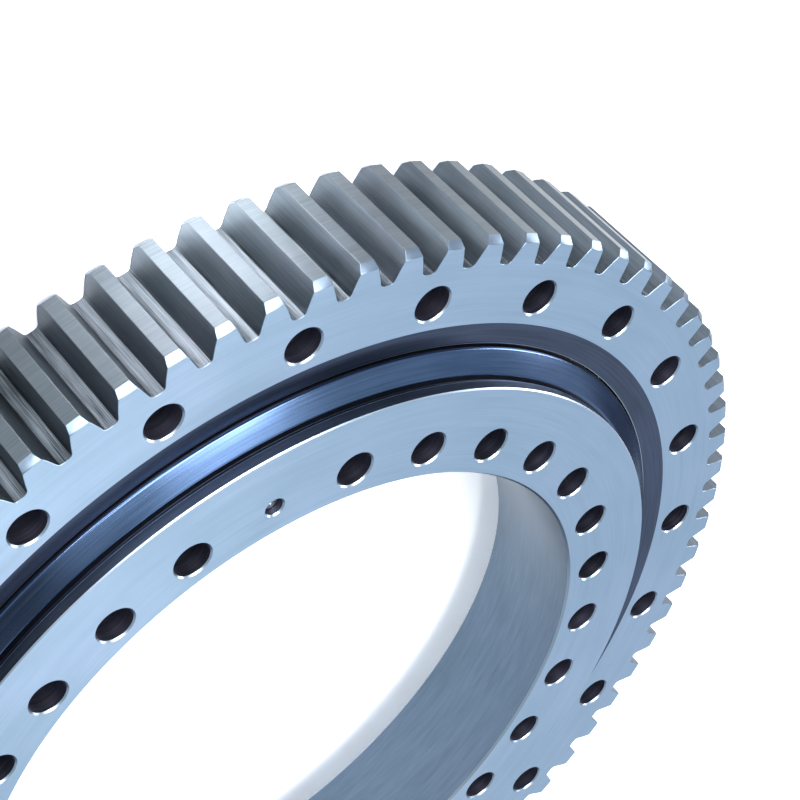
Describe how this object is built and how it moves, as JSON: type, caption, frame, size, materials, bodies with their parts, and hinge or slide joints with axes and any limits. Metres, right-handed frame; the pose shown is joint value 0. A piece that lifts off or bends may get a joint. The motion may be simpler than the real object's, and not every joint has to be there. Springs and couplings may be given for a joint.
{
  "type": "slewing ring bearing",
  "caption": "Slewing ring bearing: flat steel ring with external spur gear teeth, turning on balls around an inner ring, both with bolt holes through",
  "frame": {"origin": "middle of the outer ring's lower face, on the bearing axis", "axes": "+Z along the bearing axis, towards the face where the inner ring stands proud; +X through one outer bolt hole"},
  "size_m": [0.635, 0.635, 0.0845],
  "materials": {
    "ring_steel": "turned and hobbed bare steel, lightly oiled",
    "ball_steel": "ground and polished",
    "plug_steel": "turned bare steel",
    "cage_nylon": "moulded",
    "seal_rubber": "extruded nitrile rubber",
    "nipple_brass": "turned"
  },
  "bodies": {
    "outer": {"outer_gear_ring": "ring_steel", "lower_seal": "seal_rubber"},
    "inner": {"inner_ring": "ring_steel", "loading_plug": "plug_steel", "plug_taper_pin": "plug_steel", "upper_seal": "seal_rubber", "grease_nipple_1": "nipple_brass", "grease_nipple_2": "nipple_brass", "grease_nipple_3": "nipple_brass"},
    "ball_set": {"ball_01": "ball_steel", "ball_02": "ball_steel", "ball_03": "ball_steel", "ball_04": "ball_steel", "ball_05": "ball_steel", "ball_06": "ball_steel", "ball_07": "ball_steel", "ball_08": "ball_steel", "ball_09": "ball_steel", "ball_10": "ball_steel", "ball_11": "ball_steel", "ball_12": "ball_steel", "ball_13": "ball_steel", "ball_14": "ball_steel", "ball_15": "ball_steel", "ball_16": "ball_steel", "ball_17": "ball_steel", "ball_18": "ball_steel", "ball_19": "ball_steel", "ball_20": "ball_steel", "ball_21": "ball_steel", "ball_22": "ball_steel", "ball_23": "ball_steel", "ball_24": "ball_steel", "ball_25": "ball_steel", "ball_26": "ball_steel", "ball_27": "ball_steel", "ball_28": "ball_steel", "ball_29": "ball_steel", "ball_30": "ball_steel", "ball_31": "ball_steel", "ball_32": "ball_steel", "ball_33": "ball_steel", "ball_34": "ball_steel", "ball_35": "ball_steel", "ball_36": "ball_steel", "ball_37": "ball_steel", "ball_38": "ball_steel", "ball_39": "ball_steel", "ball_40": "ball_steel", "cage_segment_1": "cage_nylon", "cage_segment_2": "cage_nylon", "cage_segment_3": "cage_nylon", "cage_segment_4": "cage_nylon"}
  },
  "joints": [
    {"name": "inner_ring_turn", "type": "hinge", "parent": "outer", "child": "inner", "pos_m": [0, 0, 0.044], "axis": [0, 0, 1], "continuous": true},
    {"name": "ball_set_turn", "type": "hinge", "parent": "outer", "child": "ball_set", "pos_m": [0, 0, 0.044], "axis": [0, 0, 1], "continuous": true}
  ],
  "couplings": [
    {"joint": "ball_set_turn", "follows": "inner_ring_turn", "ratio": 0.48}
  ]
}
